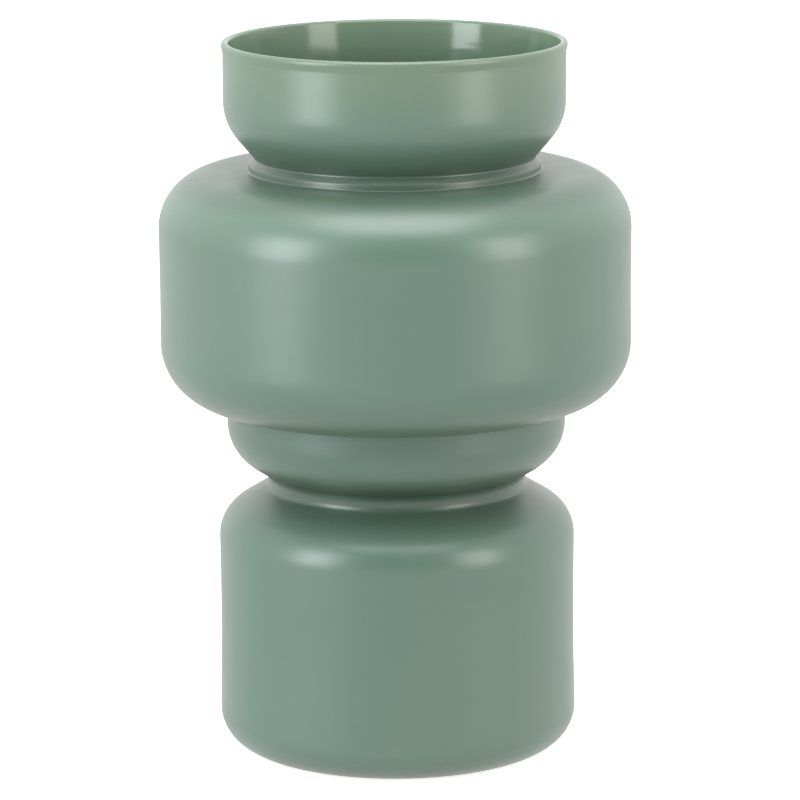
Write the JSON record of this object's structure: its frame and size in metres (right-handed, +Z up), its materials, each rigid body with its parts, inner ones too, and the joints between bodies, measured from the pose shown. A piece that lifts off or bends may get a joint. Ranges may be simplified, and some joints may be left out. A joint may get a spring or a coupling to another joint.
{
  "type": "vase",
  "caption": "Tall footed vase with a cylindrical base drum, narrow waist, broad barrel belly and an open rim bowl, in glazed stoneware.",
  "frame": {"origin": "centre of the foot ring's resting plane", "axes": "+Z up along the vase's axis of revolution; X and Y are free, because the vase is round"},
  "size_m": [0.198, 0.1978, 0.3],
  "materials": {
    "stoneware": "matte",
    "slip": "matte",
    "satin_glaze": "satin",
    "gloss_glaze": "gloss"
  },
  "bodies": {
    "root": {"base_drum": "stoneware", "waist_collar": "stoneware", "belly": "stoneware", "rim_bowl": "stoneware", "floor_slab": "stoneware", "waist_slip": "slip", "crease_slip": "slip", "neck_slip": "slip", "floor_slip": "slip", "outer_glaze": "satin_glaze", "inner_glaze": "gloss_glaze"}
  },
  "joints": []
}
